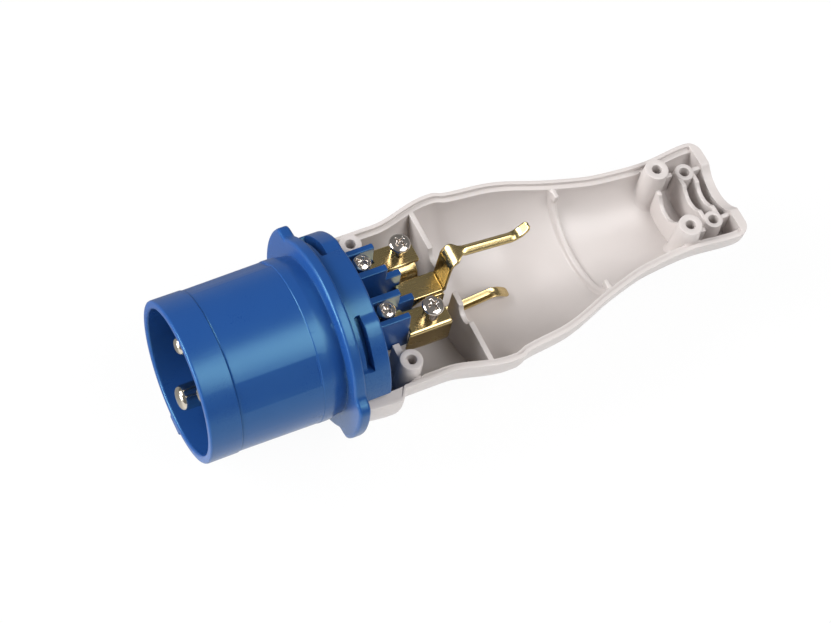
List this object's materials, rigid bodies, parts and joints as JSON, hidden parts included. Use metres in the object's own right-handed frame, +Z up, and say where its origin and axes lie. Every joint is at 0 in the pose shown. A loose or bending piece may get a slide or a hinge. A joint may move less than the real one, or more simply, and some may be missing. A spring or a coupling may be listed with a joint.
{
  "type": "plug adapter",
  "caption": "Open plug adapter: a round shrouded plug front seated in half of a split handle, with screw clamp contacts and earth spring arms.",
  "frame": {"origin": "middle of the part's box, on the ground under the collar's flat", "axes": "+X along the plug axis from the shroud's rim to the cable end, +Z up out of the open half shell"},
  "size_m": [0.1666, 0.0586, 0.0535],
  "materials": {
    "blue_plastic": "moulded, satin, mid blue",
    "grey_plastic": "moulded, satin, warm light grey",
    "nickel": "bright nickel plate",
    "screw_steel": "bright nickel-plated steel",
    "brass": "rolled sheet, bright olive gold"
  },
  "bodies": {
    "root": {"plug_front": "blue_plastic", "half_shell": "grey_plastic", "earth_pin": "nickel", "line_pin": "nickel", "neutral_pin": "nickel", "line_pin_screw": "screw_steel", "neutral_pin_screw": "screw_steel", "earth_pin_screw": "screw_steel", "line_contact": "brass", "neutral_contact": "brass", "line_clamp_screw": "screw_steel", "neutral_clamp_screw": "screw_steel", "earth_strip": "brass", "upper_spring_arm": "brass", "lower_spring_arm": "brass"}
  },
  "joints": []
}
